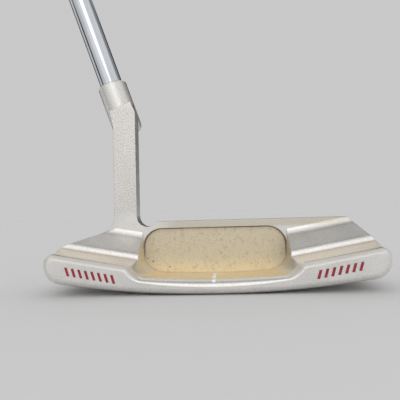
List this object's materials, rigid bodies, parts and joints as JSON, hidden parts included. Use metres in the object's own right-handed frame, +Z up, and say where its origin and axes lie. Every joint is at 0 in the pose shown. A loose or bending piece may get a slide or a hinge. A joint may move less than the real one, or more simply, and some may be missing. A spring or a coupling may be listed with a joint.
{
  "type": "blade putter",
  "caption": "Right-handed blade putter: milled heel-toe weighted head with plumber's neck, stepped steel shaft and pistol rubber grip, standing at its playing lie",
  "frame": {"origin": "the lowest point of the sole, straight under the sight line at the middle of the head, where the club rests on the ground at its playing lie", "axes": "+X from heel to toe, +Y the way the ball leaves the face, +Z up; the back of the blade and of the neck lie in the plane y = 0 and the shaft leans 71.1 degrees from the ground towards -X"},
  "size_m": [0.3716, 0.0448, 0.8208],
  "materials": {
    "milled_steel": "fine bead-blasted satin stainless steel",
    "white_paint": "white enamel fill",
    "red_paint": "dark red enamel fill",
    "epoxy": "cured shafting epoxy",
    "shaft_chrome": "polished chrome plate on drawn steel tube",
    "tape": "double-sided paper grip tape",
    "grip_rubber": "moulded matt rubber",
    "cap_rubber": "moulded matt rubber"
  },
  "bodies": {
    "root": {"putter_head": "milled_steel", "sight_line_paint": "white_paint", "heel_mark_paint": "red_paint", "toe_mark_paint": "red_paint", "hosel_epoxy": "epoxy", "shaft": "shaft_chrome", "grip_tape": "tape", "grip": "grip_rubber", "grip_cap": "cap_rubber"}
  },
  "joints": []
}
